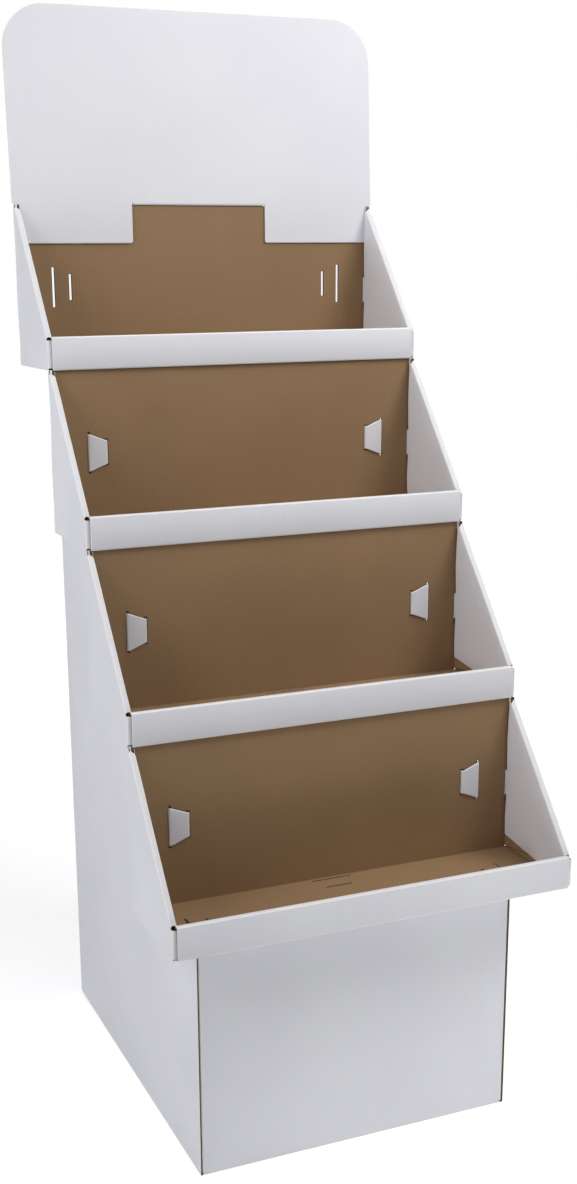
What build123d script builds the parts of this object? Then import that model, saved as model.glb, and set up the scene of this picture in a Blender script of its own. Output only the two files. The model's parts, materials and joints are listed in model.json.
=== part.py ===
from build123d import *
import math
import os

# A free-standing display stand folded from corrugated board, in millimetres.
# X runs to the right, Y to the rear and Z up. The origin is on the floor, midway
# between the two sides and midway between the lowest tray's lip and the rearmost edge.

# Board, and the play between its layers and pieces
board = 2.8
inner_fold_radius = 0.2
layer_gap = 0.3
seat_gap = 0.2

# Stand
shelf_count = 4
first_shelf_height = 367.0
shelf_rise = 239.0
lip_overlap = 9.0

# Tray
tray_width = 600.0
tray_depth = 172.0
lip_height = 48.0
corner_notch = 5.0
roll_front_gap = 1.0
roll_outer_cut = 3.0
roll_inner_cut = 9.0
roll_skirt = 5.6

# Flaps of the tray: the side walls' inner flaps with their lugs, and the hidden ones
inner_flap_front_lift = 3.5
inner_flap_rear_lift = 24.0
lug_bottom = 87.0
lug_height = 38.5
corner_flap_length = 62.0
end_flap_length = 64.0
end_flap_drop = 14.0
end_flap_lift = 4.0
end_flap_tip_lift = 12.0

# Slits, cut in pairs: a long one and, further in, a short one
slit_spacing = 27.0
long_slit = 60.0
short_slit = 39.0
side_slit_height = 117.0
rear_slit_setback = 8.5

# Body
tray_overhang = 56.0
front_overhang = 71.0
rear_ledge = 9.0
side_base_flap = 100.0
end_base_flap = 46.0
relief_play = 4.0
glue_flap = 60.0
mitre_gap = 1.0

# Locking tabs on the body's risers
tab_root_play = 5.0
tab_tip_play = 3.0
tab_bite = 8.0

# Header card
header_height = 343.5
header_corner = 66.0
header_lean = 3.3
shoulder_overhang = 2.0
shoulder_corner = 5.0
leg_length = 57.0
leg_corner = 4.0
leg_side_gap = 1.1
tongue_width = 221.0
tongue_slit = 1.5

# Worked out from the sizes above
half = board / 2
fold_radius = board + inner_fold_radius
wall = 3 * board + 2 * layer_gap
back_height = shelf_rise - seat_gap
header_slot = 2 * board + 2 * seat_gap
back_face = tray_depth - board
half_width = tray_width / 2
lip_half = half_width - board - layer_gap - fold_radius
slit_width = board + 2 * layer_gap
shelf_step = tray_depth - lip_overlap
top_shelf_height = first_shelf_height + (shelf_count - 1) * shelf_rise
body_half = tray_width / 2 - tray_overhang
side_middle = body_half - half
body_rear = (shelf_count - 1) * shelf_step + tray_depth + rear_ledge
rear_relief = end_base_flap + relief_play
tab_root = long_slit - tab_root_play
tab_tip = short_slit - tab_tip_play
tip_x = side_middle - slit_spacing

# A side wall's sloping top, from the lip's roll to the flat that carries the header
slope_foot = (wall, lip_height)
slope_peak = (tray_depth - header_slot, back_height)
slope_run = slope_peak[0] - slope_foot[0]
slope_climb = slope_peak[1] - slope_foot[1]
slope_length = math.hypot(slope_run, slope_climb)
board_drop = board * slope_length / slope_run

# The header's middle line: its legs, its bend over the back wall and its leaning top
leg_middle = back_face - seat_gap - half
tongue_middle = tray_depth + seat_gap + half
leg_foot = back_height - leg_length
header_bend = back_height + seat_gap + half
card_length = header_height - leg_length
lean_angle = math.radians(header_lean)
header_top = (
    leg_middle + card_length * math.sin(lean_angle),
    header_bend + card_length * math.cos(lean_angle),
)
header_rear = (shelf_count - 1) * shelf_step + header_top[0] + half * math.cos(lean_angle)
stand_depth = max(body_rear, header_rear)

# A fold is square where the cosine between its two arms is under this
square_limit = 0.01

# Drawing planes. Side: x is the depth Y, y the height Z. Front: x is X reversed, y the height Z.
side_plane = Plane(origin=(0, 0, 0), x_dir=(0, 1, 0), z_dir=(1, 0, 0))
front_plane = Plane(origin=(0, 0, 0), x_dir=(-1, 0, 0), z_dir=(0, 1, 0))


def sharp_creases(route):
    """Cutters that make the inside of a route's square folds sharp, as a scored crease is."""
    cutters = []
    for before, corner, after in zip(route, route[1:], route[2:]):
        arms = [(Vector(*end) - Vector(*corner)).normalized() for end in (before, after)]
        if abs(arms[0].dot(arms[1])) < square_limit:
            inside = Vector(*corner) + (arms[0] + arms[1]) * (half + inner_fold_radius / 2)
            cutters.append(Pos(inside) * Rectangle(inner_fold_radius, inner_fold_radius))
    return cutters


def bent_board(route, plane, start, end):
    """Board bent along a route of its middle line, reaching from start to end along the plane's normal."""
    section = trace(FilletPolyline(*route, radius=fold_radius - half), board)
    for cutter in sharp_creases(route):
        section -= cutter
    return extrude(plane.offset(start) * section, amount=end - start)


def flat_board(outline, plane, start, thickness=board):
    """A flat panel cut to an outline."""
    panel = make_face(Polyline(*outline, close=True))
    return extrude(plane.offset(start) * panel, amount=thickness)


def mirrored(shape):
    """A shape of the right side with its copy on the left."""
    return shape + mirror(shape, Plane.YZ)


def slope_at(y):
    """Height of a side wall's sloping top at a distance behind the lip's front."""
    return slope_foot[1] + (y - slope_foot[0]) * slope_climb / slope_run


def tray_strip():
    """Lip, floor and back wall: one strip of the sheet, rolled over in front and folded up behind."""
    route = [
        (wall - half, board + layer_gap),
        (wall - half, lip_height - half),
        (half, lip_height - half),
        (half, half),
        (tray_depth - half, half),
        (tray_depth - half, back_height),
    ]
    return bent_board(route, side_plane, -lip_half, lip_half)


def side_panel(roll_front, roll_rear):
    """Outer panel of the right side wall, folded up from the floor."""
    corner = board + layer_gap
    notch = lip_height - corner_notch
    route = [(-lip_half, half), (half - half_width, half), (half - half_width, back_height)]
    panel = bent_board(route, front_plane, corner + fold_radius, tray_depth)
    outline = [
        (corner, 0),
        (corner, notch),
        (roll_front, notch),
        (roll_front, slope_at(roll_front) - board_drop),
        (roll_rear, slope_at(roll_rear) - board_drop),
        (roll_rear, slope_at(roll_rear)),
        slope_peak,
        (tray_depth, back_height),
        (tray_depth, 0),
    ]
    return panel & flat_board(outline, side_plane, lip_half, half_width - lip_half)


def inner_flap(roll_front, roll_rear):
    """Flap hung inside the right side wall, with its free top behind the roll and its lug."""
    front = wall + layer_gap
    rear = tray_depth - header_slot
    outline = [
        (front, inner_flap_front_lift),
        (rear, inner_flap_rear_lift),
        (rear, lug_bottom),
        (tray_depth, lug_bottom),
        (tray_depth, lug_bottom + lug_height),
        (rear, lug_bottom + lug_height),
        slope_peak,
        (roll_rear, slope_at(roll_rear)),
        (roll_rear, slope_at(roll_rear) - board_drop),
        (roll_front, slope_at(roll_front) - board_drop),
        (front, lip_height - corner_notch),
    ]
    return flat_board(outline, side_plane, half_width - wall)


def side_roll(roll_front, outer_rear, inner_rear):
    """Double fold along the right side wall's slope, cut off upright, and slantwise at the rear."""
    along = Plane(
        origin=(half_width, *slope_foot),
        x_dir=(-1, 0, 0),
        z_dir=(0, slope_run, slope_climb),
    )
    route = [(half, -roll_skirt), (half, -half), (wall - half, -half), (wall - half, -roll_skirt)]
    strip = bent_board(route, along, -wall, slope_length + wall)
    reach = [
        (half_width, roll_front),
        (half_width, outer_rear),
        (half_width - wall, inner_rear),
        (half_width - wall, roll_front),
    ]
    return strip & flat_board(reach, Plane.XY, 0, back_height)


def tray_side():
    """Right side wall: outer panel, roll along the slope and inner flap."""
    roll_front = wall + roll_front_gap
    outer_rear = tray_depth - header_slot - roll_outer_cut
    inner_rear = tray_depth - header_slot - roll_inner_cut
    outer = side_panel(roll_front, outer_rear)
    inner = inner_flap(roll_front, inner_rear)
    return outer + inner + side_roll(roll_front, outer_rear, inner_rear)


def corner_flap():
    """Flap folded from the front edge of the right side wall, held inside the lip."""
    front = board + layer_gap + half
    route = [
        (half_width - half, front + fold_radius + board),
        (half_width - half, front),
        (half_width - corner_flap_length, front),
    ]
    return bent_board(route, Plane.XY, board + layer_gap, lip_height - corner_notch)


def end_flap():
    """Flap folded forward from the right end of the back wall, held inside the side wall."""
    side = half_width - board - layer_gap - half
    tip = tray_depth - end_flap_length
    route = [(lip_half - board, tray_depth - half), (side, tray_depth - half), (side, tip)]
    flap = bent_board(route, Plane.XY, end_flap_lift, back_height)
    outline = [
        (tip, end_flap_tip_lift),
        (tray_depth - fold_radius, end_flap_lift),
        (tray_depth, end_flap_lift),
        (tray_depth, slope_at(tray_depth) - end_flap_drop),
        (tip, slope_at(tip) - end_flap_drop),
    ]
    return flap & flat_board(outline, side_plane, lip_half - board, half_width - lip_half)


def wall_slit(x, height, length):
    """Cutter for an upright slit in the back wall."""
    return Pos(x, tray_depth - half, height) * Box(slit_width, 2 * board, length)


def floor_slit(x, y, width, depth):
    """Cutter for a slit in the floor."""
    return Pos(x, y, half) * Box(width, depth, 2 * board)


def tray_slits():
    """All slits of a tray, and the slots for the inner flaps' lugs."""
    lug_middle = lug_bottom + lug_height / 2
    side = wall_slit(side_middle, side_slit_height, long_slit)
    side += wall_slit(tip_x, side_slit_height, short_slit)
    side += wall_slit(half_width - wall + half, lug_middle, lug_height + 2 * layer_gap)
    side += floor_slit(side_middle, tray_depth / 2, slit_width, long_slit)
    side += floor_slit(tip_x, tray_depth / 2, slit_width, short_slit)
    rear = tray_depth - rear_slit_setback
    slits = mirrored(side) + floor_slit(0, rear, long_slit, slit_width)
    return slits + floor_slit(0, rear - slit_spacing, short_slit, slit_width)


def make_tray():
    """One tray, folded from one sheet, with the foot of its lip at y = 0 and z = 0."""
    sheet = tray_strip() + mirrored(corner_flap() + end_flap())
    return sheet - tray_slits() + mirrored(tray_side())


def stepped_outline():
    """Side of the body: a tread under each tray, and a riser behind each back wall but the top one."""
    points = [(front_overhang, 0), (front_overhang, first_shelf_height)]
    for shelf in range(shelf_count - 1):
        riser = shelf * shelf_step + tray_depth + layer_gap
        tread = first_shelf_height + shelf * shelf_rise
        points += [(riser, tread), (riser, tread + shelf_rise)]
    return points + [(body_rear, top_shelf_height), (body_rear, 0)]


def riser_tab(shelf):
    """Tapered tab of the right side panel: out through the long slit and back through the short one."""
    rear = shelf * shelf_step + tray_depth
    across = rear - board - layer_gap - half
    route = [
        (side_middle, rear + 2 * fold_radius),
        (side_middle, across),
        (tip_x, across),
        (tip_x, rear + tab_bite),
    ]
    middle = first_shelf_height + shelf * shelf_rise + side_slit_height
    strip = bent_board(route, Plane.XY, middle - tab_root / 2, middle + tab_root / 2)
    taper = [
        (-body_half, middle - tab_root / 2),
        (-tip_x, middle - tab_tip / 2),
        (half - tip_x, middle - tab_tip / 2),
        (half - tip_x, middle + tab_tip / 2),
        (-tip_x, middle + tab_tip / 2),
        (-body_half, middle + tab_root / 2),
    ]
    return strip & flat_board(taper, front_plane, across - board, rear + body_rear)


def side_foot():
    """Base flap of the right side panel, mitred in front and cut away at the rear."""
    rear = body_rear - rear_relief
    inner = body_half - side_base_flap
    route = [(-side_middle, 2 * fold_radius), (-side_middle, half), (-inner, half)]
    flap = bent_board(route, front_plane, front_overhang, rear)
    plan = [
        (body_half, front_overhang),
        (body_half - fold_radius, front_overhang),
        (inner, front_overhang + side_base_flap - fold_radius),
        (inner, rear),
        (body_half, rear),
    ]
    return flap & flat_board(plan, Plane.XY, 0, 3 * fold_radius)


def rear_foot():
    """Base flap of the back panel."""
    route = [(body_rear - half, 2 * fold_radius), (body_rear - half, half), (body_rear - end_base_flap, half)]
    reach = body_half - 2 * fold_radius
    return bent_board(route, side_plane, -reach, reach)


def make_body_wrap():
    """Back panel and both stepped side panels, one sheet, with its base flaps and locking tabs."""
    rear = body_rear - half
    plan = [
        (-side_middle, front_overhang),
        (-side_middle, rear),
        (side_middle, rear),
        (side_middle, front_overhang),
    ]
    panels = bent_board(plan, Plane.XY, fold_radius, top_shelf_height)
    panels &= flat_board(stepped_outline(), side_plane, -body_half, 2 * body_half)
    wrap = panels + rear_foot() + mirrored(side_foot())
    for shelf in range(shelf_count - 1):
        wrap += mirrored(riser_tab(shelf))
    return wrap


def make_front_panel():
    """Lower front, one sheet, with glue flaps inside the side panels and a mitred base flap."""
    side = body_half - board - layer_gap - half
    front = front_overhang + half
    plan = [(-side, front + glue_flap), (-side, front), (side, front), (side, front + glue_flap)]
    panel = bent_board(plan, Plane.XY, board + layer_gap, first_shelf_height)
    route = [(front, 2 * fold_radius), (front, half), (front + end_base_flap, half)]
    reach = side - fold_radius - mitre_gap
    foot = bent_board(route, side_plane, -reach, reach)
    tip_reach = reach - end_base_flap
    mitre = [
        (-reach, front - half),
        (-reach, front + half),
        (-tip_reach, front + end_base_flap),
        (tip_reach, front + end_base_flap),
        (reach, front + half),
        (reach, front - half),
    ]
    return panel + (foot & flat_board(mitre, Plane.XY, 0, 3 * fold_radius))


def card_outline():
    """Front view of the header: rounded top, shoulders on the side walls and two legs."""
    wide = half_width + shoulder_overhang
    shoulder = back_height + seat_gap
    leg_outer = half_width - 2 * board - layer_gap - leg_side_gap
    leg_inner = tongue_width / 2 + tongue_slit
    right = [
        (leg_inner, shoulder),
        (leg_inner, leg_foot),
        (leg_outer, leg_foot),
        (leg_outer, shoulder),
        (wide, shoulder),
        (wide, header_top[1]),
    ]
    left = [(-x, z) for x, z in reversed(right)]
    card = make_face(Polyline(*right, *left, close=True))
    corners = card.vertices()
    sides = corners.filter_by(lambda corner: abs(corner.X) > wide - 1)
    card = fillet(sides.filter_by(lambda corner: corner.Y > header_bend), header_corner)
    sides = card.vertices().filter_by(lambda corner: abs(corner.X) > wide - 1)
    card = fillet(sides.filter_by(lambda corner: corner.Y < header_bend), shoulder_corner)
    feet = card.vertices().filter_by(lambda corner: corner.Y < leg_foot + 1)
    return fillet(feet, leg_corner)


def make_header():
    """Header card: two legs in front of the top tray's back wall, a saddle over it and a tongue behind."""
    wide = half_width + shoulder_overhang
    legs = [(leg_middle, leg_foot), (leg_middle, header_bend), header_top]
    card = bent_board(legs, side_plane, -wide, wide)
    card &= extrude(front_plane * card_outline(), amount=2 * tray_depth)
    tongue = [(tongue_middle, leg_foot), (tongue_middle, header_bend), (leg_middle, header_bend), header_top]
    saddle = bent_board(tongue, side_plane, -tongue_width / 2, tongue_width / 2)
    height = header_bend + 2 * fold_radius
    reach = [(0, leg_foot), (2 * tray_depth, leg_foot), (2 * tray_depth, height), (0, height)]
    saddle &= flat_board(reach, side_plane, -tongue_width / 2, tongue_width)
    bend = Pos(0, leg_middle, header_bend) * Box(tongue_width, 2 * fold_radius, 2 * board)
    return card - bend + saddle


def place(piece, shelf):
    """A piece of a shelf, moved from its own frame to its place on the stand."""
    return Pos(0, shelf * shelf_step - stand_depth / 2, first_shelf_height + shelf * shelf_rise) * piece


def main():
    os.makedirs("parts", exist_ok=True)
    tray = make_tray()
    pieces = {f"tray_{shelf + 1}": place(tray, shelf) for shelf in range(shelf_count)}
    pieces["header"] = place(make_header(), shelf_count - 1)
    pieces["body_wrap"] = Pos(0, -stand_depth / 2, 0) * make_body_wrap()
    pieces["front_panel"] = Pos(0, -stand_depth / 2, 0) * make_front_panel()
    for name, piece in pieces.items():
        export_step(piece, f"parts/{name}.step")


main()
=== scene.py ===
import json
import math

import bmesh
import bpy
from mathutils import Matrix, Vector

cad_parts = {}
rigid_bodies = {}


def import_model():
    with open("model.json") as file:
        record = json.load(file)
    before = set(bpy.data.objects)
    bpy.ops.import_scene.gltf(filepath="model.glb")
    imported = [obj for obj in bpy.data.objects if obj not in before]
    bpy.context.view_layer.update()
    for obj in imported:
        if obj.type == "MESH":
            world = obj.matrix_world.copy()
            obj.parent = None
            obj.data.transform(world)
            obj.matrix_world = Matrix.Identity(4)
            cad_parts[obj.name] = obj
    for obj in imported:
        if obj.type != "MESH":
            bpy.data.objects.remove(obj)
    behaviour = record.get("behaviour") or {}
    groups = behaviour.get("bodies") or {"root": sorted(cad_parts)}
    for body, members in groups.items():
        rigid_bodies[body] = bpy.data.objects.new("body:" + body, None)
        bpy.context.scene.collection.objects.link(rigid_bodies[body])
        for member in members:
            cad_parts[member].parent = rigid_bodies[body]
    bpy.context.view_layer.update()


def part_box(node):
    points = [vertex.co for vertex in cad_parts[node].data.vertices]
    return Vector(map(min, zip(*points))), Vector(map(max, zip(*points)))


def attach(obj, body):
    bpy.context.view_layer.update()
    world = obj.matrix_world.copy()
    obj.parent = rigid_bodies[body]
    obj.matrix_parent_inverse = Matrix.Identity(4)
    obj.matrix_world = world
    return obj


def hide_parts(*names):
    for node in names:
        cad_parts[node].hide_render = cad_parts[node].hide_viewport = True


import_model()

# A display stand folded from corrugated board, in metres. Each sheet is drawn flat as its die-cut
# blank, brown side up, its right half only. It is cut, folded up along its creases from the
# outermost flap inwards, mirrored, given the thickness of the board and set in its place.

# Board and folds
board = 0.0028
half = board / 2
layer_gap = 0.0003
seat_gap = 0.0002
bend = 0.0016
fold_radius = bend + half
arc = bend * math.pi / 2
saved = 2 * bend - arc
square = math.radians(90)
fold_steps = 4
crushed_rim = 0.0011
crushed_share = 0.4
flute_pitch = 0.0062
smooth_under = math.radians(35)
weld_distance = 1e-6
touch = 1e-5
past_middle = -0.010

# Spacing of the even fields that a blank is divided into, so that the board can give a little
tray_fields = 0.024
body_fields = 0.040
header_fields = 0.036

# Stand
shelf_count = 4
first_shelf_height = 0.367
shelf_rise = 0.239
shelf_step = 0.163
front_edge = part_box("tray_1")[0].y
top_shelf_height = first_shelf_height + (shelf_count - 1) * shelf_rise

# Tray
half_width = 0.300
tray_depth = 0.172
back_height = shelf_rise - seat_gap
lip_height = 0.048
notch_height = 0.043
wall = 0.009
side_middle = half_width - half
lip_end = half_width - board - layer_gap - fold_radius
side_front = board + layer_gap + fold_radius
header_slot = 2 * board + 2 * seat_gap

# Slits of a tray, open in the back wall and pressed nearly shut in the floor, and its lugs
slit_width = 0.0034
pressed_slit = 0.0018
outer_slit_x = 0.2426
inner_slit_x = 0.2156
wall_slit_z = 0.117
long_slit = 0.060
short_slit = 0.039
lug_low = 0.087
lug_high = 0.1255
rear_slit_y = 0.1635
slit_spacing = 0.027

# Body
body_half = 0.244
body_front = 0.071
body_rear = 0.670
glue_flap = 0.060
base_flap = 0.046
side_base_flap = 0.100
side_flap_rear = 0.620
foot_clear = 0.004

# Header
card_half = 0.302
card_length = 0.2864
leg_length = 0.057
header_lean = math.radians(3.3)


# Drawing and cutting a blank

def drawn():
    """The mesh that is being worked on in edit mode."""
    return bmesh.from_edit_mesh(bpy.context.edit_object.data)


def new_blank(name):
    """A new sheet in edit mode, with nothing drawn on it yet."""
    bpy.ops.object.select_all(action="DESELECT")
    bpy.ops.mesh.primitive_plane_add(size=board)
    sheet = bpy.context.object
    sheet.name = name
    sheet.data.name = name
    bpy.ops.object.mode_set(mode="EDIT")
    bpy.ops.mesh.select_mode(type="VERT")
    bpy.ops.mesh.select_all(action="SELECT")
    bpy.ops.mesh.delete(type="VERT")
    return sheet


def trace_panel(corners):
    """Draws one flat panel: a point is drawn out from corner to corner, and its outline filled."""
    bpy.ops.mesh.select_all(action="DESELECT")
    bpy.ops.mesh.primitive_plane_add(size=board, location=(*corners[0], 0))
    bpy.ops.mesh.merge(type="CENTER")
    for (x, y), (next_x, next_y) in zip(corners, corners[1:]):
        move = (next_x - x, next_y - y, 0)
        bpy.ops.mesh.extrude_vertices_move(TRANSFORM_OT_translate={"value": move})
    bpy.ops.mesh.select_linked()
    bpy.ops.mesh.edge_face_add()


def pick_faces(rule):
    """Selects the faces of the flat blank whose middle meets a rule."""
    bpy.ops.mesh.select_all(action="DESELECT")
    for face in drawn().faces:
        middle = face.calc_center_bounds()
        if rule(middle.x, middle.y):
            face.select_set(True)


def pick_over(low, high):
    """Selects the faces of the flat blank that lie over a rectangle."""
    bpy.ops.mesh.select_all(action="DESELECT")
    for face in drawn().faces:
        xs = [vertex.co.x for vertex in face.verts]
        ys = [vertex.co.y for vertex in face.verts]
        beside = max(xs) < low[0] + touch or min(xs) > high[0] - touch
        if not beside and max(ys) > low[1] + touch and min(ys) < high[1] - touch:
            face.select_set(True)


def cut(point, heading):
    """Cuts the selected faces along a line through a point."""
    across = (-math.sin(heading), math.cos(heading), 0)
    bpy.ops.mesh.bisect(plane_co=(point[0], point[1], 0), plane_no=across)


def cut_slot(middle, width, depth):
    """Cuts a slot out of the blank."""
    low = (middle[0] - width / 2, middle[1] - depth / 2)
    high = (middle[0] + width / 2, middle[1] + depth / 2)
    for corner, heading in ((low, 0), (high, 0), (low, square), (high, square)):
        pick_over(low, high)
        cut(corner, heading)
    pick_over(low, high)
    bpy.ops.mesh.delete(type="FACE")


def join_panels():
    bpy.ops.mesh.select_all(action="SELECT")
    bpy.ops.mesh.remove_doubles(threshold=weld_distance)


def press_rims():
    """Draws the line up to which the die crushes the board at a cut, and drops the left half."""
    bpy.ops.mesh.select_all(action="SELECT")
    bpy.ops.mesh.normals_make_consistent()
    bpy.ops.mesh.inset(thickness=crushed_rim, use_boundary=True)
    bpy.ops.mesh.select_all(action="SELECT")
    bpy.ops.mesh.bisect(plane_co=(0, 0, 0), plane_no=(1, 0, 0), clear_inner=True)


def divide(spacing):
    """Cuts the whole blank into even fields, so that the board can give a little."""
    points = [vertex.co.copy() for vertex in drawn().verts]
    for axis, heading in ((0, square), (1, 0)):
        low = min(point[axis] for point in points)
        high = max(point[axis] for point in points)
        for step in range(1, int((high - low) / spacing) + 1):
            bpy.ops.mesh.select_all(action="SELECT")
            place = low + step * spacing
            cut((place, place), heading)


def is_cut(edge):
    """Whether an edge of the right half is a cut, and not the middle line."""
    return edge.is_boundary and max(vertex.co.x for vertex in edge.verts) > touch


def note_blank():
    """Turns the white side down and notes each point's place on the flat blank and its cuts."""
    bpy.ops.mesh.select_all(action="SELECT")
    bpy.ops.mesh.normals_make_consistent()
    mesh = drawn()
    mesh.faces.ensure_lookup_table()
    if mesh.faces[0].normal.z > 0:
        bpy.ops.mesh.flip_normals()
        mesh = drawn()
    flat = mesh.verts.layers.float_vector.new("flat")
    rim = mesh.verts.layers.float.new("rim")
    mesh.verts.layers.float.new("fold")
    chart = mesh.loops.layers.uv.new("blank")
    for vertex in mesh.verts:
        vertex[flat] = vertex.co
        vertex[rim] = any(is_cut(edge) for edge in vertex.link_edges)
    for face in mesh.faces:
        for corner in face.loops:
            corner[chart].uv = corner.vert.co.xy


# Folding

def turn(angle, axis, point):
    """Turns the selected points by the right hand. With no window the tool turns them back."""
    bpy.ops.transform.rotate(value=-angle, orient_axis=axis, center_override=point)


class Crease:
    """A fold: what lies on the line's left turns up to the brown side, in a few small steps."""

    def __init__(self, point, heading, angle, panel, loose=None, steps=fold_steps):
        self.heading = heading
        self.angle = angle / steps
        self.panel = panel
        self.loose = loose
        self.left = Vector((-math.sin(heading), math.cos(heading)))
        width = bend * abs(angle)
        shifts = [width * (step + 0.5) / steps for step in range(steps)]
        self.lines = [Vector(point) + self.left * shift for shift in shifts]

    def score(self):
        """Cuts the lines of the fold into the flat panel."""
        for line in self.lines:
            pick_faces(self.panel)
            cut(line, self.heading)

    def mark(self):
        """Notes the points in the middle of the fold, where the liner is strained and where
        highlight and shade are painted.
        """
        mesh = drawn()
        fold = mesh.verts.layers.float["fold"]
        for vertex in mesh.verts:
            place = vertex.co.xy
            gaps = [abs((place - line).dot(self.left)) for line in self.lines[1:-1]]
            if self.panel(*place) and min(gaps) < touch:
                vertex[fold] = 1

    def turns(self, line, x, y):
        """Whether a point of the blank turns with a line: beyond it, or in the loose part."""
        beyond = (Vector((x, y)) - line).dot(self.left) > touch
        return self.panel(x, y) and (beyond or self.loose is not None and self.loose(x, y))

    def pick_beyond(self, line):
        """Selects the points of the panel that turn with a line, wherever they are by now."""
        pick_points(lambda x, y: self.turns(line, x, y))

    def fold(self):
        for line in reversed(self.lines):
            self.pick_beyond(line)
            point = (line.x, line.y, 0)
            turn(-self.heading, "Z", point)
            turn(self.angle, "X", point)
            turn(self.heading, "Z", point)


def pick_points(rule):
    """Selects the points whose place on the flat blank meets a rule."""
    bpy.ops.mesh.select_all(action="DESELECT")
    mesh = drawn()
    flat = mesh.verts.layers.float_vector["flat"]
    for vertex in mesh.verts:
        if rule(*vertex[flat].xy):
            vertex.select_set(True)


def fold_all(creases, spacing):
    """Scores all creases, notes the blank and folds it, the first crease first."""
    join_panels()
    press_rims()
    for crease in creases:
        crease.score()
    divide(spacing)
    note_blank()
    for crease in creases:
        crease.mark()
    for crease in creases:
        crease.fold()


# Finishing a sheet

def stand_up(heading):
    """Stands the sheet upright with its brown side to the front, then turns it about."""
    bpy.ops.mesh.select_all(action="SELECT")
    turn(square, "X", (0, 0, 0))
    turn(heading, "Z", (0, 0, 0))


def move_by(x, y, z):
    bpy.ops.mesh.select_all(action="SELECT")
    bpy.ops.transform.translate(value=(x, y, z))


def apply_modifier(sheet, kind, **settings):
    modifier = sheet.modifiers.new(kind.lower(), kind)
    for name, value in settings.items():
        setattr(modifier, name, value)
    bpy.ops.object.modifier_apply(modifier=modifier.name)


def finish_sheet(sheet, finishes):
    """Adds the left half and the thickness: white outside, brown inside, cut edges round it."""
    bpy.ops.object.mode_set(mode="OBJECT")
    apply_modifier(sheet, "MIRROR", merge_threshold=weld_distance)
    for finish in finishes:
        sheet.data.materials.append(finish)
    thin = len(sheet.data.vertices)
    rim = sheet.data.attributes["rim"].data
    uncrushed = sheet.vertex_groups.new(name="uncrushed")
    uncrushed.add([index for index in range(thin) if rim[index].value < 0.5], 1, "REPLACE")
    apply_modifier(
        sheet,
        "SOLIDIFY",
        thickness=board,
        offset=0,
        use_even_offset=True,
        vertex_group="uncrushed",
        thickness_vertex_group=crushed_share,
        material_offset=1,
        material_offset_rim=2,
    )
    depth = sheet.data.attributes.new("depth", "FLOAT", "POINT")
    for index in range(len(sheet.data.vertices)):
        depth.data[index].value = 0 if index < thin else 1
    bpy.ops.object.shade_smooth_by_angle(angle=smooth_under)


def bow(place, width, move, reach):
    """Pushes the board out at a place of the folded sheet, less and less with distance along it."""
    bpy.ops.mesh.select_all(action="DESELECT")
    for vertex in drawn().verts:
        if (vertex.co - Vector(place)).length < width:
            vertex.select_set(True)
    bpy.ops.transform.translate(
        value=move,
        use_proportional_edit=True,
        use_proportional_connected=True,
        proportional_edit_falloff="SMOOTH",
        proportional_size=reach,
    )


def copy_sheet(sheet, name):
    """A copy of a sheet with its own mesh, selected alone."""
    bpy.ops.object.select_all(action="DESELECT")
    sheet.select_set(True)
    bpy.ops.object.duplicate()
    twin = bpy.context.selected_objects[0]
    bpy.context.view_layer.objects.active = twin
    twin.name = name
    twin.data.name = name
    return twin


# Tray. On the blank, x runs to the side and y to the rear. A place on the upright side wall is
# given by y and z, and wall_lift, back_lift and lip_drop take z to the blank.

wall_lift = side_middle - half - saved
back_lift = tray_depth - board - saved
lip_drop = board + saved

slope_foot = Vector((wall, lip_height))
slope_peak = Vector((tray_depth - header_slot, back_height))
slope_along = (slope_peak - slope_foot).normalized()
slope_out = Vector((-slope_along.y, slope_along.x))
slope_heading = math.atan2(-slope_out.y, slope_out.x)
roll_flat = wall - board - 2 * bend
roll_reach = 2 * arc + roll_flat - fold_radius
roll_front = 0.010
outer_rear = 0.1648
inner_rear = 0.1625
loose_front = 0.1635
loose_slant = 0.9
notch_clear = 0.0005
notch_fall = 0.1

# Inner flap of the side wall, in y and z
inner_front = 0.0093
inner_low = 0.0035
inner_tail = 0.166
inner_tail_low = 0.024

# Corner flap of the side wall
corner_reach = 0.059
corner_tip_height = 0.034

# End flap of the back wall, and the relief in the corner beside it
end_reach = 0.061
end_tip_forward = 0.064
end_low = 0.004
end_tip_low = 0.012
end_under_slope = 0.014
relief_depth = 0.001
relief_width = 0.0005


def slope_height(y):
    """The height of the slope over the tray's floor."""
    return slope_foot.y + (y - slope_foot.x) * slope_along.y / slope_along.x


def wall_point(y, z):
    """A place on the side wall, on the blank."""
    return (z + wall_lift, y)


def slope_point(along, out):
    """A place given along the slope and out from it, on the blank."""
    place = slope_foot + slope_along * along + slope_out * out
    return wall_point(*place)


def flap_point(y, z):
    """A place on the side wall's inner flap, on the blank, beyond the roll."""
    place = Vector((y, z)) - slope_foot
    return slope_point(place.dot(slope_along), roll_reach - fold_radius - place.dot(slope_out))


def along_slope(y, depth):
    """How far up the slope a plane across the tray meets the board, at a depth under its top."""
    return (y - slope_foot.x + depth * slope_out.x) / slope_along.x


def roll_end(outer_y, inner_y):
    """Where the roll is cut off, at its outer and its inner fold."""
    return [
        slope_point(along_slope(outer_y, fold_radius), -fold_radius),
        slope_point(along_slope(outer_y, half), arc - fold_radius),
        slope_point(along_slope(inner_y, half), roll_reach - arc),
        slope_point(along_slope(inner_y, fold_radius), roll_reach),
    ]


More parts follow.
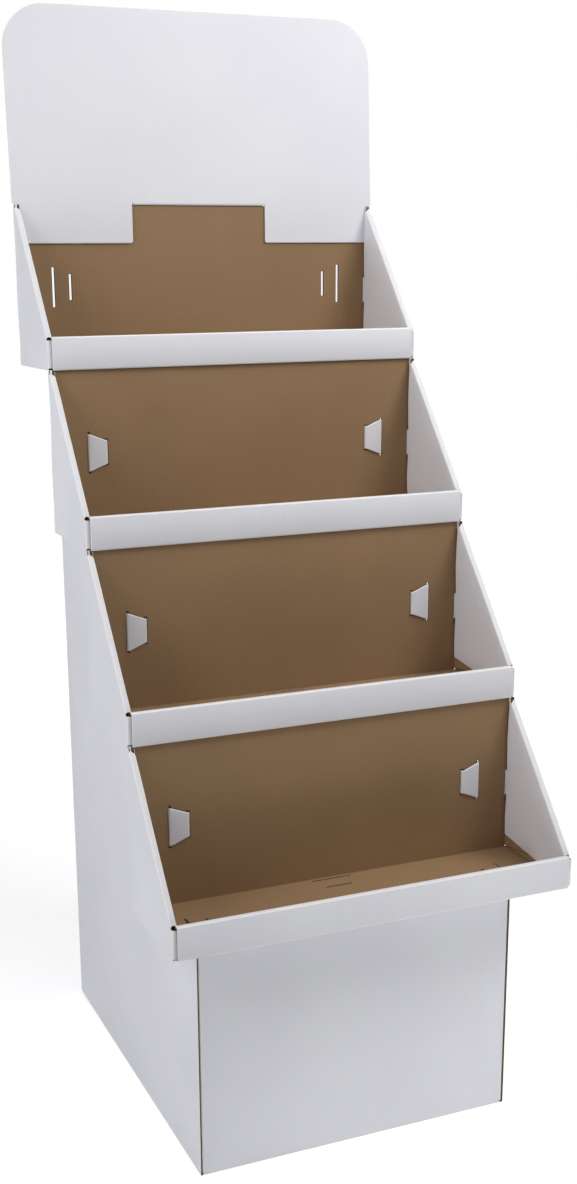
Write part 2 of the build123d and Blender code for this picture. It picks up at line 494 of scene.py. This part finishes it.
def trace_tray():
    side = side_middle - bend
    rear = tray_depth - fold_radius
    relief = rear - relief_depth
    slot = lip_end + relief_width
    lip_outer = lip_height - 2 * fold_radius
    lip_inner = lip_height - side_front
    lip_tip = fold_radius - 3 * arc - lip_outer - roll_flat - lip_inner
    top = back_height + back_lift
    flap_low = end_low + back_lift
    flap_high = slope_height(tray_depth) - end_under_slope + back_lift
    flap_tip_high = slope_height(tray_depth - end_tip_forward) - end_under_slope + back_lift
    flap_tip = lip_end + arc + end_reach
    corner_low = board + layer_gap
    corner_tip = side_front - arc - corner_reach
    trace_panel([
        (past_middle, fold_radius), (lip_end, fold_radius), (lip_end, side_front),
        (side, side_front), (side, tray_depth), (slot, tray_depth), (slot, relief),
        (lip_end, relief), (lip_end, rear), (past_middle, rear),
    ])
    trace_panel([
        (past_middle, lip_tip), (lip_end, lip_tip), (lip_end, fold_radius),
        (past_middle, fold_radius),
    ])
    trace_panel([
        (past_middle, rear), (lip_end, rear), (lip_end, flap_low), (lip_end, flap_high),
        (lip_end, top), (past_middle, top),
    ])
    trace_panel([
        (lip_end, flap_low), (flap_tip, end_tip_low + back_lift), (flap_tip, flap_tip_high),
        (lip_end, flap_high),
    ])
    trace_panel([
        wall_point(side_front, notch_height), wall_point(side_front, corner_low),
        wall_point(corner_tip, corner_low), wall_point(corner_tip, corner_tip_height),
        wall_point(side_front - arc, notch_height),
    ])
    trace_panel([
        (side, side_front), wall_point(side_front, corner_low),
        wall_point(side_front, notch_height), wall_point(roll_front, notch_height),
        *roll_end(roll_front, roll_front),
        flap_point(inner_front, notch_height), flap_point(inner_front, inner_low),
        flap_point(inner_tail, inner_tail_low),
        flap_point(inner_tail, lug_low), flap_point(tray_depth, lug_low),
        flap_point(tray_depth, lug_high), flap_point(inner_tail, lug_high),
        flap_point(*slope_peak), flap_point(loose_front, slope_height(loose_front)),
        slope_point(along_slope(loose_front, fold_radius), roll_reach),
        *reversed(roll_end(outer_rear, inner_rear)),
        wall_point(outer_rear, slope_height(outer_rear)), wall_point(*slope_peak),
        wall_point(tray_depth, back_height), (side, tray_depth),
    ])


def cut_tray_slits():
    high = wall_slit_z + back_lift
    cut_slot((outer_slit_x, high), slit_width, long_slit)
    cut_slot((inner_slit_x, high), slit_width, short_slit)
    cut_slot((outer_slit_x, tray_depth / 2), pressed_slit, long_slit)
    cut_slot((inner_slit_x, tray_depth / 2), pressed_slit, short_slit)
    cut_slot((0, rear_slit_y), long_slit, pressed_slit)
    cut_slot((0, rear_slit_y - slit_spacing), short_slit, pressed_slit)
    lug_side = half_width - wall - layer_gap
    lug_middle = (lug_low + lug_high) / 2 + back_lift
    slot_length = lug_high - lug_low + 2 * layer_gap
    cut_slot(((lug_side + lip_end) / 2, lug_middle), lip_end - lug_side, slot_length)


def in_lip(x, y):
    return x < lip_end + touch and y < fold_radius


def in_back(x, y):
    return x < lip_end + touch and y > tray_depth - fold_radius or in_end_flap(x, y)


def in_end_flap(x, y):
    return x > lip_end and y > tray_depth + layer_gap


def in_side(x, y):
    return x > side_middle - bend and y < tray_depth + layer_gap


def on_slope(x, y):
    """A place on the blank of the side wall, as lengths along the slope and out from it."""
    place = Vector((y, x - wall_lift)) - slope_foot
    return place.dot(slope_along), place.dot(slope_out)


def in_roll(x, y):
    """The side wall above its front notch, with the roll and the inner flap."""
    before_rear = y < outer_rear - touch or on_slope(x, y)[1] > half
    return before_rear and x - wall_lift > notch_height + notch_clear + notch_fall * min(0, y)


def in_loose_top(x, y):
    """The inner flap's top behind the roll, where nothing holds it."""
    along, out = on_slope(x, y)
    start = along_slope((inner_rear + loose_front) / 2, fold_radius)
    return out > half and along > start + loose_slant * (roll_reach - out)


def in_corner_flap(x, y):
    return in_side(x, y) and y < side_front and not in_roll(x, y)


def tray_creases():
    lip_top = lip_drop - lip_height + fold_radius
    lip_inner = lip_top - arc - roll_flat
    first_roll = slope_point(0, -fold_radius)
    second_roll = slope_point(0, roll_reach - arc)
    return [
        Crease(second_roll, slope_heading, square, in_roll, in_loose_top),
        Crease(first_roll, slope_heading, square, in_roll),
        Crease((0, side_front), 2 * square, square, in_corner_flap),
        Crease((side_middle - bend, 0), -square, square, in_side),
        Crease((lip_end, 0), -square, square, in_end_flap),
        Crease((0, tray_depth - fold_radius), 0, square, in_back),
        Crease((0, lip_inner), 2 * square, square, in_lip),
        Crease((0, lip_top), 2 * square, square, in_lip),
        Crease((0, fold_radius), 2 * square, square, in_lip),
    ]


def make_tray(finishes):
    """The lowest tray, with the others copied from it."""
    sheet = new_blank("lowest_tray")
    trace_tray()
    join_panels()
    cut_tray_slits()
    fold_all(tray_creases(), tray_fields)
    move_by(0, front_edge, first_shelf_height + half)
    finish_sheet(sheet, finishes)
    return sheet


# How far the inner flaps have bowed in above and below their lugs, on the left and then on the
# right, for each shelf from the lowest up
flap_bows = [
    ((0.0010, 0.0006), (0.0013, 0.0010)),
    ((0.0007, 0.0009), (0.0016, 0.0008)),
    ((0.0012, 0.0005), (0.0012, 0.0012)),
    ((0.0006, 0.0008), (0.0010, 0.0007)),
]

# Height and reach of those bows, above and below the lug, and where the flap's rear edge is
flap_bow_places = ((0.172, 0.052), (0.048, 0.036))
flap_bow_width = 0.016
flap_edge_y = 0.165


def bow_flaps(shelf):
    """Bows the free rear edges of one tray's inner flaps, which only their lugs hold."""
    flap = half_width - wall + half
    rear = front_edge + shelf * shelf_step + flap_edge_y
    floor = first_shelf_height + shelf * shelf_rise
    for side, bows in zip((-1, 1), flap_bows[shelf]):
        for (height, reach), amount in zip(flap_bow_places, bows):
            place = (side * flap, rear, floor + height)
            bow(place, flap_bow_width, (-side * amount, 0, 0), reach)


def make_trays(finishes):
    trays = [make_tray(finishes)]
    for name, shelf in (("second_tray", 1), ("third_tray", 2), ("top_tray", 3)):
        twin = copy_sheet(trays[0], name)
        bpy.ops.object.mode_set(mode="EDIT")
        move_by(0, shelf * shelf_step, shelf * shelf_rise)
        bpy.ops.object.mode_set(mode="OBJECT")
        trays.append(twin)
    for shelf, tray in enumerate(trays):
        bpy.context.view_layer.objects.active = tray
        bpy.ops.object.mode_set(mode="EDIT")
        bow_flaps(shelf)
        bpy.ops.object.mode_set(mode="OBJECT")
    return trays


# Body. On the blank, x runs round the body from the middle of its back and y is the height.

body_middle = body_half - half
round_lift = body_middle + body_rear - half - saved


def round_point(y, z):
    """A place on the body's side panel, on the blank."""
    return (round_lift - y, z)


def riser_y(shelf):
    """How far behind the stand's front edge the riser at the back of a shelf is."""
    return shelf * shelf_step + tray_depth + layer_gap


def tab_z(shelf):
    """The height of the middle of a shelf's tabs."""
    return first_shelf_height + shelf * shelf_rise + wall_slit_z


tab_root = 0.0275
tab_tip = 0.018
tab_neck = board + layer_gap
tab_across = body_middle - inner_slit_x - 2 * bend
tab_behind = 0.0109
tab_end = tab_neck + 2 * arc + tab_across + tab_behind
tab_bow = 0.0012
tab_bow_width = 0.018
tab_bow_reach = 0.022


def trace_tab(shelf):
    """One riser tab, tapered towards its tip."""
    start, middle = round_point(riser_y(shelf), tab_z(shelf))
    bends = (0, tab_neck + arc, tab_neck + arc + tab_across, tab_end)
    widths = (tab_root, tab_root, tab_tip, tab_tip)
    under = [(start + reach, middle - width) for reach, width in zip(bends, widths)]
    over = [(start + reach, middle + width) for reach, width in zip(bends, widths)]
    trace_panel([*under, *reversed(over)])


def trace_side_panel():
    """The stepped side panel, with a point where each tab begins and ends."""
    edge = [round_point(body_front, fold_radius), round_point(body_front, first_shelf_height)]
    for shelf in range(shelf_count - 1):
        riser = riser_y(shelf)
        tread = first_shelf_height + shelf * shelf_rise
        for z in (tread, tab_z(shelf) - tab_root, tab_z(shelf) + tab_root, tread + shelf_rise):
            edge.append(round_point(riser, z))
    back = body_middle - bend
    foot_rear = round_point(side_flap_rear, fold_radius)
    trace_panel([(back, fold_radius), foot_rear, *edge, (back, top_shelf_height)])


def trace_body():
    back = body_middle - bend
    rear_reach = body_half - 2 * fold_radius
    rear_tip = fold_radius - arc - base_flap + fold_radius
    side_tip = fold_radius - arc - side_base_flap + fold_radius
    trace_panel([
        (past_middle, fold_radius), (rear_reach, fold_radius), (back, fold_radius),
        (back, top_shelf_height), (past_middle, top_shelf_height),
    ])
    trace_panel([
        (past_middle, rear_tip), (rear_reach, rear_tip), (rear_reach, fold_radius),
        (past_middle, fold_radius),
    ])
    trace_side_panel()
    trace_panel([
        round_point(side_flap_rear, side_tip),
        round_point(body_front + side_base_flap - fold_radius, side_tip),
        round_point(body_front, fold_radius - arc), round_point(body_front, fold_radius),
        round_point(side_flap_rear, fold_radius),
    ])
    for shelf in range(shelf_count - 1):
        trace_tab(shelf)


def in_tab(shelf):
    """A rule for the tab of one shelf."""
    start, middle = round_point(riser_y(shelf), tab_z(shelf))
    return lambda x, y: x > start - touch and abs(y - middle) < tab_root + touch


def in_body_side(x, y):
    return x > body_middle - bend


def in_foot(x, y):
    return y < fold_radius


def body_creases():
    creases = []
    for shelf in range(shelf_count - 1):
        start = round_point(riser_y(shelf), 0)[0] + tab_neck
        for place in (start + arc + tab_across, start):
            creases.append(Crease((place, 0), -square, square, in_tab(shelf)))
    creases.append(Crease((0, fold_radius), 2 * square, square, in_foot))
    creases.append(Crease((body_middle - bend, 0), -square, square, in_body_side))
    return creases


def make_body(finishes):
    sheet = new_blank("stepped_body")
    trace_body()
    fold_all(body_creases(), body_fields)
    stand_up(0)
    move_by(0, front_edge + body_rear - half, 0)
    finish_sheet(sheet, finishes)
    bpy.ops.object.mode_set(mode="EDIT")
    for shelf in range(shelf_count - 1):
        tab = front_edge + riser_y(shelf) - tab_neck - board - half
        for side in (-1, 1):
            middle = side * (inner_slit_x + outer_slit_x) / 2
            place = (middle, tab, tab_z(shelf))
            bow(place, tab_bow_width, (0, -tab_bow, 0), tab_bow_reach)
    bpy.ops.object.mode_set(mode="OBJECT")
    return sheet


# Front panel

def make_front(finishes):
    sheet = new_blank("lower_front")
    fold = body_half - board - layer_gap - fold_radius
    flap_tip = fold + arc + glue_flap - bend
    foot_reach = fold + bend - foot_clear
    foot_tip = fold_radius - arc - base_flap + bend
    low = board + layer_gap
    trace_panel([
        (past_middle, fold_radius), (foot_reach, fold_radius), (foot_reach, low), (flap_tip, low),
        (flap_tip, first_shelf_height), (past_middle, first_shelf_height),
    ])
    trace_panel([
        (past_middle, foot_tip), (foot_reach - base_flap, foot_tip),
        (foot_reach, fold_radius - arc), (foot_reach, fold_radius), (past_middle, fold_radius),
    ])
    creases = [
        Crease((0, fold_radius), 2 * square, square, in_foot),
        Crease((fold, 0), -square, square, lambda x, y: x > 0 and y > fold_radius),
    ]
    fold_all(creases, body_fields)
    stand_up(2 * square)
    move_by(0, front_edge + body_front + half, 0)
    finish_sheet(sheet, finishes)
    return sheet


# Header. On the blank, y = 0 is the line where the card leans back above its legs.

header_middle = tray_depth - board - seat_gap - half
header_bend = back_height + seat_gap + half
tongue_half = 0.1105
leg_inner = 0.112
leg_outer = 0.293
leg_corner = 0.004
shoulder_corner = 0.005
card_corner = 0.066
card_corner_steps = 16
small_corner_steps = 5
saddle_turn = square + header_lean
saddle_start = bend * math.tan(saddle_turn / 2)
saddle_flat = 2 * board + 2 * seat_gap - saddle_start - bend


def round_corner(corner, radius, steps):
    """Rounds a corner of the flat blank."""
    bpy.ops.mesh.select_all(action="DESELECT")
    for vertex in drawn().verts:
        if (vertex.co.xy - Vector(corner)).length < touch:
            vertex.select_set(True)
    bpy.ops.mesh.bevel(offset=radius, segments=steps, affect="VERTICES", profile=0.5)


def trace_header():
    foot = -bend - leg_length
    tip = saddle_start - bend * saddle_turn - saddle_flat - arc - leg_length
    trace_panel([
        (past_middle, saddle_start), (tongue_half, saddle_start), (leg_inner, saddle_start),
        (leg_inner, foot), (leg_outer, foot), (leg_outer, -half), (card_half, -half),
        (card_half, card_length), (past_middle, card_length),
    ])
    round_corner((card_half, card_length), card_corner, card_corner_steps)
    round_corner((card_half, -half), shoulder_corner, small_corner_steps)
    round_corner((leg_inner, foot), leg_corner, small_corner_steps)
    round_corner((leg_outer, foot), leg_corner, small_corner_steps)
    trace_panel([
        (past_middle, tip), (tongue_half, tip), (tongue_half, saddle_start),
        (past_middle, saddle_start),
    ])


def in_tongue(x, y):
    return x < tongue_half + touch and y < saddle_start


def in_card(x, y):
    return y > 0 or in_tongue(x, y)


def make_header(finishes):
    sheet = new_blank("header_card")
    trace_header()
    saddle_end = saddle_start - bend * saddle_turn - saddle_flat
    creases = [
        Crease((0, saddle_end), 2 * square, -square, in_tongue),
        Crease((0, saddle_start), 2 * square, saddle_turn, in_tongue),
    ]
    fold_all(creases, header_fields)
    pick_points(in_card)
    turn(header_lean, "X", (0, 0, 0))
    stand_up(2 * square)
    top_shelf = (shelf_count - 1) * shelf_step
    move_by(0, front_edge + top_shelf + header_middle, top_shelf_height + header_bend)
    finish_sheet(sheet, finishes)
    return sheet


# Drawing a finish

def add_node(tree, kind, **settings):
    node = tree.nodes.new(f"ShaderNode{kind}")
    for name, value in settings.items():
        setattr(node, name, value)
    return node


def feed(tree, socket, value):
    """Joins another node's output to a socket, or sets the socket to a plain value."""
    if isinstance(value, bpy.types.NodeSocket):
        tree.links.new(value, socket)
    else:
        socket.default_value = value


def maths(tree, operation, first, second=0.0):
    node = add_node(tree, "Math", operation=operation)
    feed(tree, node.inputs[0], first)
    feed(tree, node.inputs[1], second)
    return node.outputs[0]


def between(tree, value, low, high):
    """A value drawn out softly to 0 at low and 1 at high."""
    node = add_node(tree, "MapRange", interpolation_type="SMOOTHSTEP")
    feed(tree, node.inputs["Value"], value)
    node.inputs["From Min"].default_value = low
    node.inputs["From Max"].default_value = high
    return node.outputs[0]


def tint(tree, amount, ground, colour):
    """Lays a colour over the ground in a given amount."""
    node = add_node(tree, "Mix", data_type="RGBA")
    feed(tree, node.inputs[0], amount)
    for socket, value in ((node.inputs[6], ground), (node.inputs[7], colour)):
        feed(tree, socket, value if isinstance(value, bpy.types.NodeSocket) else (*value, 1))
    return node.outputs[2]


def mottle(tree, where, scale, detail=2.0):
    """Cloudy unevenness, about 0.5 on average."""
    node = add_node(tree, "TexNoise")
    feed(tree, node.inputs["Vector"], where)
    node.inputs["Scale"].default_value = scale
    node.inputs["Detail"].default_value = detail
    return node.outputs[0]


def in_space(tree):
    return add_node(tree, "TexCoord").outputs["Object"]


def on_blank(tree, across=1.0, down=1.0):
    """Places on the flat blank, which the flutes run down, drawn out in each direction."""
    chart = add_node(tree, "UVMap", uv_map="blank")
    stretch = add_node(tree, "Mapping")
    feed(tree, stretch.inputs["Vector"], chart.outputs[0])
    stretch.inputs["Scale"].default_value = (across, down, 1)
    return stretch.outputs[0]


def across_flutes(tree):
    """How many flutes lie between a place and the middle of the blank."""
    apart = add_node(tree, "SeparateXYZ")
    feed(tree, apart.inputs[0], on_blank(tree))
    return maths(tree, "DIVIDE", apart.outputs[0], flute_pitch)


def wave_of(tree, turns):
    """A wave between 0 and 1."""
    swing = maths(tree, "SINE", maths(tree, "MULTIPLY", turns, 2 * math.pi))
    return maths(tree, "ADD", maths(tree, "MULTIPLY", swing, 0.5), 0.5)


def new_effect(name, inputs, outputs):
    """An empty node group with its sockets."""
    effect = bpy.data.node_groups.new(name, "ShaderNodeTree")
    for socket, value in inputs.items():
        made = effect.interface.new_socket(socket, in_out="INPUT", socket_type="NodeSocketFloat")
        made.default_value = value
    for socket in outputs:
        effect.interface.new_socket(socket, in_out="OUTPUT", socket_type="NodeSocketFloat")
    return effect, effect.nodes.new("NodeGroupInput"), effect.nodes.new("NodeGroupOutput")


def place_effect(tree, effect, **values):
    node = add_node(tree, "Group", node_tree=effect)
    for name, value in values.items():
        node.inputs[name].default_value = value
    return node.outputs


def make_flute_lines():
    """The washboard of the flutes in a liner: 1 on a crest, 0 in a hollow, fainter in places."""
    effect, given, result = new_effect("flute_lines", {"Evenness": 0.5}, ["Lines"])
    evenness = given.outputs["Evenness"]
    clear = between(effect, mottle(effect, in_space(effect), 4.0), 0.4, 0.68)
    gap = maths(effect, "SUBTRACT", 1.0, evenness)
    strength = maths(effect, "ADD", evenness, maths(effect, "MULTIPLY", clear, gap))
    wave = wave_of(effect, across_flutes(effect))
    swing = maths(effect, "MULTIPLY", maths(effect, "SUBTRACT", wave, 0.5), strength)
    feed(effect, result.inputs["Lines"], maths(effect, "ADD", swing, 0.5))
    return effect


def make_paper():
    """Paper: large clouds, long fibres, dark flecks and the fine roughness of the surface."""
    effect, _, result = new_effect("paper", {}, ["Clouds", "Fibres", "Flecks", "Grain"])
    clouds = mottle(effect, in_space(effect), 5.0, 4.0)
    feed(effect, result.inputs["Clouds"], between(effect, clouds, 0.3, 0.7))
    fibres = mottle(effect, on_blank(effect, 700, 160), 1.0, 3.0)
    feed(effect, result.inputs["Fibres"], between(effect, fibres, 0.35, 0.7))
    flecks = mottle(effect, in_space(effect), 620.0, 1.0)
    feed(effect, result.inputs["Flecks"], between(effect, flecks, 0.66, 0.76))
    feed(effect, result.inputs["Grain"], mottle(effect, in_space(effect), 900.0, 3.0))
    return effect


def make_crush_strain_and_painted_light():
    """Uneven masks of cut rims and folds: crushed and strained board, and where painted highlight
    and shade go.
    """
    effect, _, result = new_effect("crush_strain_and_painted_light", {}, ["Rim", "Fold"])
    uneven = maths(effect, "ADD", mottle(effect, in_space(effect), 60.0, 3.0), 0.35)
    for name, output in (("rim", "Rim"), ("fold", "Fold")):
        mark = add_node(effect, "Attribute", attribute_name=name)
        feed(effect, result.inputs[output], maths(effect, "MULTIPLY", mark.outputs["Fac"], uneven))
    return effect


flute_lines = make_flute_lines()
paper = make_paper()
crush_strain_and_painted_light = make_crush_strain_and_painted_light()


def new_finish(name):
    """A new material, with its node tree and its shader."""
    finish = bpy.data.materials.new(name)
    finish.use_nodes = True
    return finish, finish.node_tree, finish.node_tree.nodes["Principled BSDF"]


def add_relief(tree, shader, height, distance):
    bump = add_node(tree, "Bump")
    bump.inputs["Strength"].default_value = 1
    bump.inputs["Distance"].default_value = distance
    feed(tree, bump.inputs["Height"], height)
    feed(tree, shader.inputs["Normal"], bump.outputs[0])


def tint_in_turn(tree, ground, layers):
    """Lays colours over the ground one after another, each in a share of its own mask."""
    for mask, share, colour in layers:
        ground = tint(tree, maths(tree, "MULTIPLY", mask, share), ground, colour)
    return ground


def make_white_liner():
    """White printed liner: cool and matt, cream where it is crushed or strained, the cream also a
    painted highlight along folds and cut rims.
    """
    finish, tree, shader = new_finish("white_liner")
    sheet = place_effect(tree, paper)
    worn_and_painted_light = place_effect(tree, crush_strain_and_painted_light)
    lines = place_effect(tree, flute_lines, Evenness=0.1)["Lines"]
    colour = tint(tree, sheet["Clouds"], (0.780, 0.783, 0.815), (0.752, 0.754, 0.792))
    colour = tint_in_turn(tree, colour, [
        (lines, 0.11, (0.67, 0.675, 0.72)),
        (sheet["Flecks"], 0.10, (0.60, 0.58, 0.57)),
        # Cream on folds and cut rims: partly paler crushed and strained paper, partly a painted
        # highlight.
        (worn_and_painted_light["Fold"], 1.2, (0.90, 0.87, 0.84)),
        (worn_and_painted_light["Rim"], 1.2, (0.90, 0.84, 0.78)),
    ])
    feed(tree, shader.inputs["Base Color"], colour)
    matt = maths(tree, "MULTIPLY", sheet["Clouds"], 0.12)
    feed(tree, shader.inputs["Roughness"], maths(tree, "ADD", matt, 0.52))
    height = maths(tree, "ADD", lines, maths(tree, "MULTIPLY", sheet["Grain"], 0.4))
    add_relief(tree, shader, height, 0.00004)
    return finish


def make_brown_liner():
    """Natural kraft liner: brown, fibrous and dull, with the flutes showing through, and painted
    shade near black in its folds and along its cut rims.
    """
    finish, tree, shader = new_finish("brown_liner")
    sheet = place_effect(tree, paper)
    worn_and_painted_light = place_effect(tree, crush_strain_and_painted_light)
    lines = place_effect(tree, flute_lines, Evenness=0.3)["Lines"]
    colour = tint(tree, sheet["Clouds"], (0.288, 0.174, 0.084), (0.252, 0.151, 0.072))
    colour = tint_in_turn(tree, colour, [
        (sheet["Fibres"], 0.35, (0.345, 0.220, 0.115)),
        (lines, 0.17, (0.200, 0.119, 0.056)),
        (sheet["Flecks"], 0.3, (0.15, 0.09, 0.05)),
        # Painted shade: folds, the insides of the rolls and cut rims are darkened where shade falls
        # in creases and slits.
        (worn_and_painted_light["Fold"], 1.1, (0.045, 0.026, 0.014)),
        (worn_and_painted_light["Rim"], 2.0, (0.06, 0.04, 0.026)),
    ])
    feed(tree, shader.inputs["Base Color"], colour)
    dull = maths(tree, "MULTIPLY", sheet["Fibres"], 0.14)
    feed(tree, shader.inputs["Roughness"], maths(tree, "ADD", dull, 0.72))
    height = maths(tree, "ADD", lines, maths(tree, "MULTIPLY", sheet["Fibres"], 0.5))
    add_relief(tree, shader, height, 0.00009)
    return finish


def make_cut_edge():
    """Cut board: two liners with the waved medium between them, half pressed shut by the die, all
    of it darkened as painted shade, the hollows near black.
    """
    finish, tree, shader = new_finish("cut_edge")
    depth = add_node(tree, "Attribute", attribute_name="depth").outputs["Fac"]
    drift = mottle(tree, in_space(tree), 90.0, 2.0)
    wave = wave_of(tree, maths(tree, "ADD", across_flutes(tree), drift))
    middle = maths(tree, "ADD", maths(tree, "MULTIPLY", wave, 0.6), 0.2)
    off_wave = maths(tree, "ABSOLUTE", maths(tree, "SUBTRACT", depth, middle))
    off_centre = maths(tree, "ABSOLUTE", maths(tree, "SUBTRACT", depth, 0.5))
    beside_medium = between(tree, off_wave, 0.08, 0.2)
    within_liners = between(tree, off_centre, 0.45, 0.36)
    hollow = maths(tree, "MULTIPLY", beside_medium, within_liners)
    # Painted shade: the edge's colour is darkened as if it lay in shadow, and the flute hollows
    # near black.
    colour = tint(tree, drift, (0.13, 0.096, 0.076), (0.075, 0.055, 0.043))
    colour = tint_in_turn(tree, colour, [(hollow, 0.85, (0.02, 0.014, 0.010))])
    feed(tree, shader.inputs["Base Color"], colour)
    dull = maths(tree, "MULTIPLY", drift, 0.15)
    feed(tree, shader.inputs["Roughness"], maths(tree, "ADD", dull, 0.8))
    add_relief(tree, shader, maths(tree, "SUBTRACT", 1.0, hollow), 0.0003)
    return finish


# The stand

finishes = [make_white_liner(), make_brown_liner(), make_cut_edge()]

trays = make_trays(finishes)
for number, tray in enumerate(trays):
    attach(tray, "root")
    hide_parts(f"tray_{number + 1}")
for piece, node in (
    (make_body(finishes), "body_wrap"),
    (make_front(finishes), "front_panel"),
    (make_header(finishes), "header"),
):
    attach(piece, "root")
    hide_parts(node)


# Floor, light and camera

def seen_plainly(tree):
    """1 for rays that show a thing as it is: from the camera, off gloss or through glass."""
    path = add_node(tree, "LightPath")
    plainly = maths(tree, "MAXIMUM", path.outputs["Is Camera Ray"], path.outputs["Is Glossy Ray"])
    return maths(tree, "MAXIMUM", plainly, path.outputs["Is Transmission Ray"])


def make_floor():
    """A pale floor that shows white but keeps the stand's shadow."""
    bpy.ops.object.select_all(action="DESELECT")
    bpy.ops.mesh.primitive_plane_add(size=60)
    floor = bpy.context.object
    floor.name = "studio_floor"
    finish, tree, shader = new_finish("studio_floor")
    shader.inputs["Base Color"].default_value = (0.82, 0.82, 0.82, 1)
    shader.inputs["Roughness"].default_value = 0.9
    shader.inputs["Emission Color"].default_value = (1, 1, 1, 1)
    away = add_node(tree, "VectorMath", operation="LENGTH")
    feed(tree, away.inputs[0], in_space(tree))
    far = maths(tree, "MULTIPLY", between(tree, away.outputs["Value"], 0.9, 3.5), 0.3)
    lift = maths(tree, "MULTIPLY", seen_plainly(tree), maths(tree, "ADD", far, 0.55))
    feed(tree, shader.inputs["Emission Strength"], lift)
    floor.data.materials.append(finish)


def make_world():
    """Soft light from all round, and white where the camera looks past the floor."""
    world = bpy.data.worlds.new("studio")
    world.use_nodes = True
    tree = world.node_tree
    soft = tree.nodes["Background"]
    soft.inputs["Color"].default_value = (0.95, 0.97, 1.0, 1)
    soft.inputs["Strength"].default_value = 0.15
    white = add_node(tree, "Background")
    white.inputs["Color"].default_value = (1, 1, 1, 1)
    white.inputs["Strength"].default_value = 1
    choose = add_node(tree, "MixShader")
    feed(tree, choose.inputs[0], seen_plainly(tree))
    feed(tree, choose.inputs[1], soft.outputs[0])
    feed(tree, choose.inputs[2], white.outputs[0])
    feed(tree, tree.nodes["World Output"].inputs["Surface"], choose.outputs[0])
    bpy.context.scene.world = world


def add_softbox(name, place, aim, size, power, colour=(1, 1, 1)):
    bpy.ops.object.light_add(type="AREA", location=place)
    box = bpy.context.object
    box.name = name
    box.data.shape = "RECTANGLE"
    box.data.size, box.data.size_y = size
    box.data.energy = power
    box.data.color = colour
    box.rotation_euler = (Vector(aim) - Vector(place)).to_track_quat("-Z", "Y").to_euler()


def add_camera():
    """The photograph's view, fitted to points of the stand, with the picture shifted a little."""
    yaw = math.radians(21.731)
    pitch = math.radians(14.683)
    roll = math.radians(-0.757)
    focal_length_px = 1463.3
    photo_height_px = 1184
    forward = Vector((
        math.sin(yaw) * math.cos(pitch), math.cos(yaw) * math.cos(pitch), -math.sin(pitch),
    ))
    right = Vector((math.cos(yaw), -math.sin(yaw), 0))
    up = right.cross(forward)
    tilted_right = right * math.cos(roll) + up * math.sin(roll)
    tilted_up = up * math.cos(roll) - right * math.sin(roll)
    frame_axes = Matrix((tilted_right, tilted_up, -forward)).transposed()
    bpy.ops.object.camera_add(location=(-0.8510, -1.9539, 1.2064))
    camera = bpy.context.object
    camera.name = "camera"
    camera.rotation_euler = frame_axes.to_euler()
    camera.data.lens = camera.data.sensor_width * focal_length_px / photo_height_px
    camera.data.shift_x = 0.0429
    camera.data.shift_y = 0.0614
    bpy.context.scene.camera = camera


# What the lamps aim at, and the cooler light from the left
stand_middle = (0, 0, 0.8)
stand_foot = (0.15, -0.26, 0.1)
cool = (0.97, 0.97, 1)

make_floor()
make_world()
add_softbox("overhead_light", (0.1, -0.3, 2.9), stand_middle, (1.0, 0.8), 6)
add_softbox("top_light", (1.1, -1.0, 2.4), stand_middle, (1.0, 1.0), 27)
add_softbox("left_light", (-2.8, 0.1, 0.9), stand_middle, (1.6, 2.4), 16, cool)
add_softbox("high_left_light", (-2.2, -0.8, 2.2), stand_middle, (1.4, 1.4), 27, cool)
add_softbox("low_front_light", (0.35, -0.85, 0.04), stand_foot, (0.9, 0.25), 1.8)
add_softbox("rear_light", (0.8, 3.2, 1.7), stand_middle, (1.4, 1.4), 12)
add_camera()
bpy.context.scene.view_settings.view_transform = "Standard"
